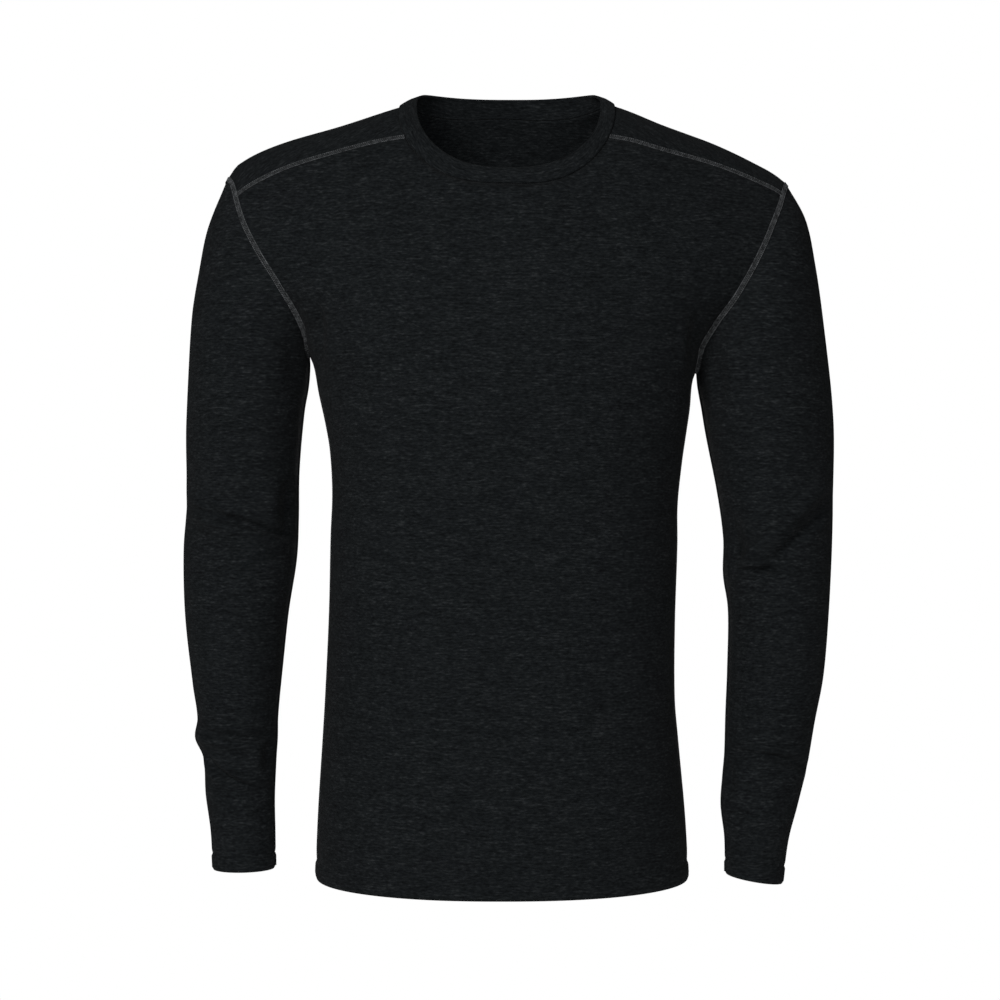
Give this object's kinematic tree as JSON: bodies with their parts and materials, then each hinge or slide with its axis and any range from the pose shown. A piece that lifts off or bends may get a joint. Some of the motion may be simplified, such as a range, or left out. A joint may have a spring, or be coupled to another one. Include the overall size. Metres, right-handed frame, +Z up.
{
  "type": "base layer top",
  "caption": "Long-sleeved crew-neck base layer top in fine heathered knit, filled out as worn, with forward shoulder seams and turned hems",
  "frame": {"origin": "midway between the two high shoulder points, at the base of the neck, where the wearer holds the garment", "axes": "+Z up, -Y the garment's front, +X towards the wearer's left"},
  "size_m": [0.5853, 0.2227, 0.7144],
  "materials": {
    "knit": "matte black heathered fine-gauge jersey",
    "seam_thread": "matte grey flatlock thread"
  },
  "bodies": {
    "root": {"front": "knit", "back": "knit", "sleeve_left": "knit", "sleeve_right": "knit", "neck_band": "knit"}
  },
  "joints": []
}
